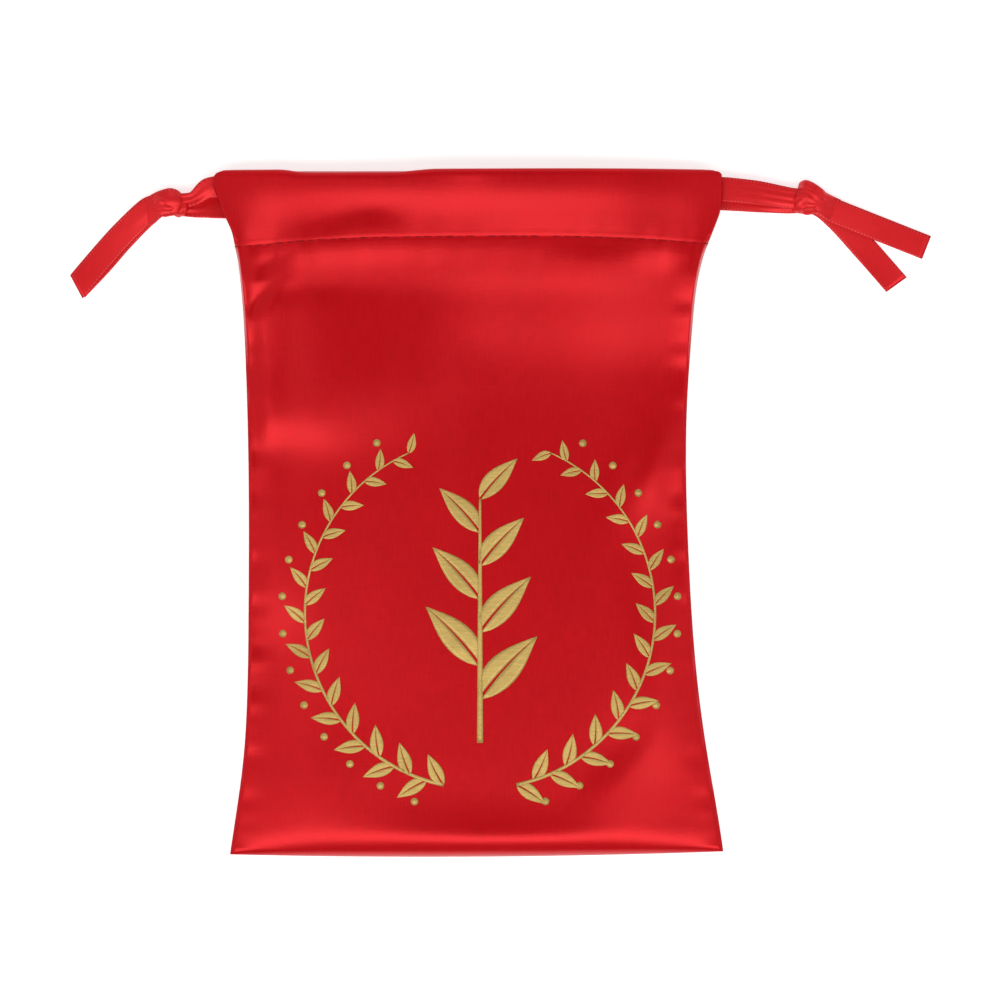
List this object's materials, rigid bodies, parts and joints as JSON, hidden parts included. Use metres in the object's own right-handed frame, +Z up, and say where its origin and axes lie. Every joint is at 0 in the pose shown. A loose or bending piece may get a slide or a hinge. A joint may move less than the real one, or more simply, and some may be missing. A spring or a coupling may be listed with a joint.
{
  "type": "kinchaku drawstring pouch",
  "caption": "Flat satin pouch lying on its back, folded at the bottom and hemmed at the mouth, drawn shut by two flat ribbons that run through both casings and are knotted at the sides.",
  "frame": {"origin": "on the surface the pouch lies on, under the middle of the bag without its ribbons", "axes": "+X to the pouch's right seen from its printed front, +Y along its length towards the mouth, +Z up out of the printed front"},
  "size_m": [0.228, 0.18, 0.014],
  "materials": {
    "red_satin": "bright red polyester satin, soft sheen, with a matte gold print on the front",
    "red_ribbon": "red satin ribbon with a dotted woven edge, a little more matte than the bag",
    "red_thread": "red sewing thread",
    "gold_print": "matte grainy gold ink printed on the satin"
  },
  "bodies": {
    "root": {"satin_bag": "red_satin", "drawstring_left": "red_ribbon", "drawstring_right": "red_ribbon", "hem_thread_front": "red_thread", "hem_thread_back": "red_thread", "side_seam_thread_left": "red_thread", "side_seam_thread_right": "red_thread"}
  },
  "joints": []
}
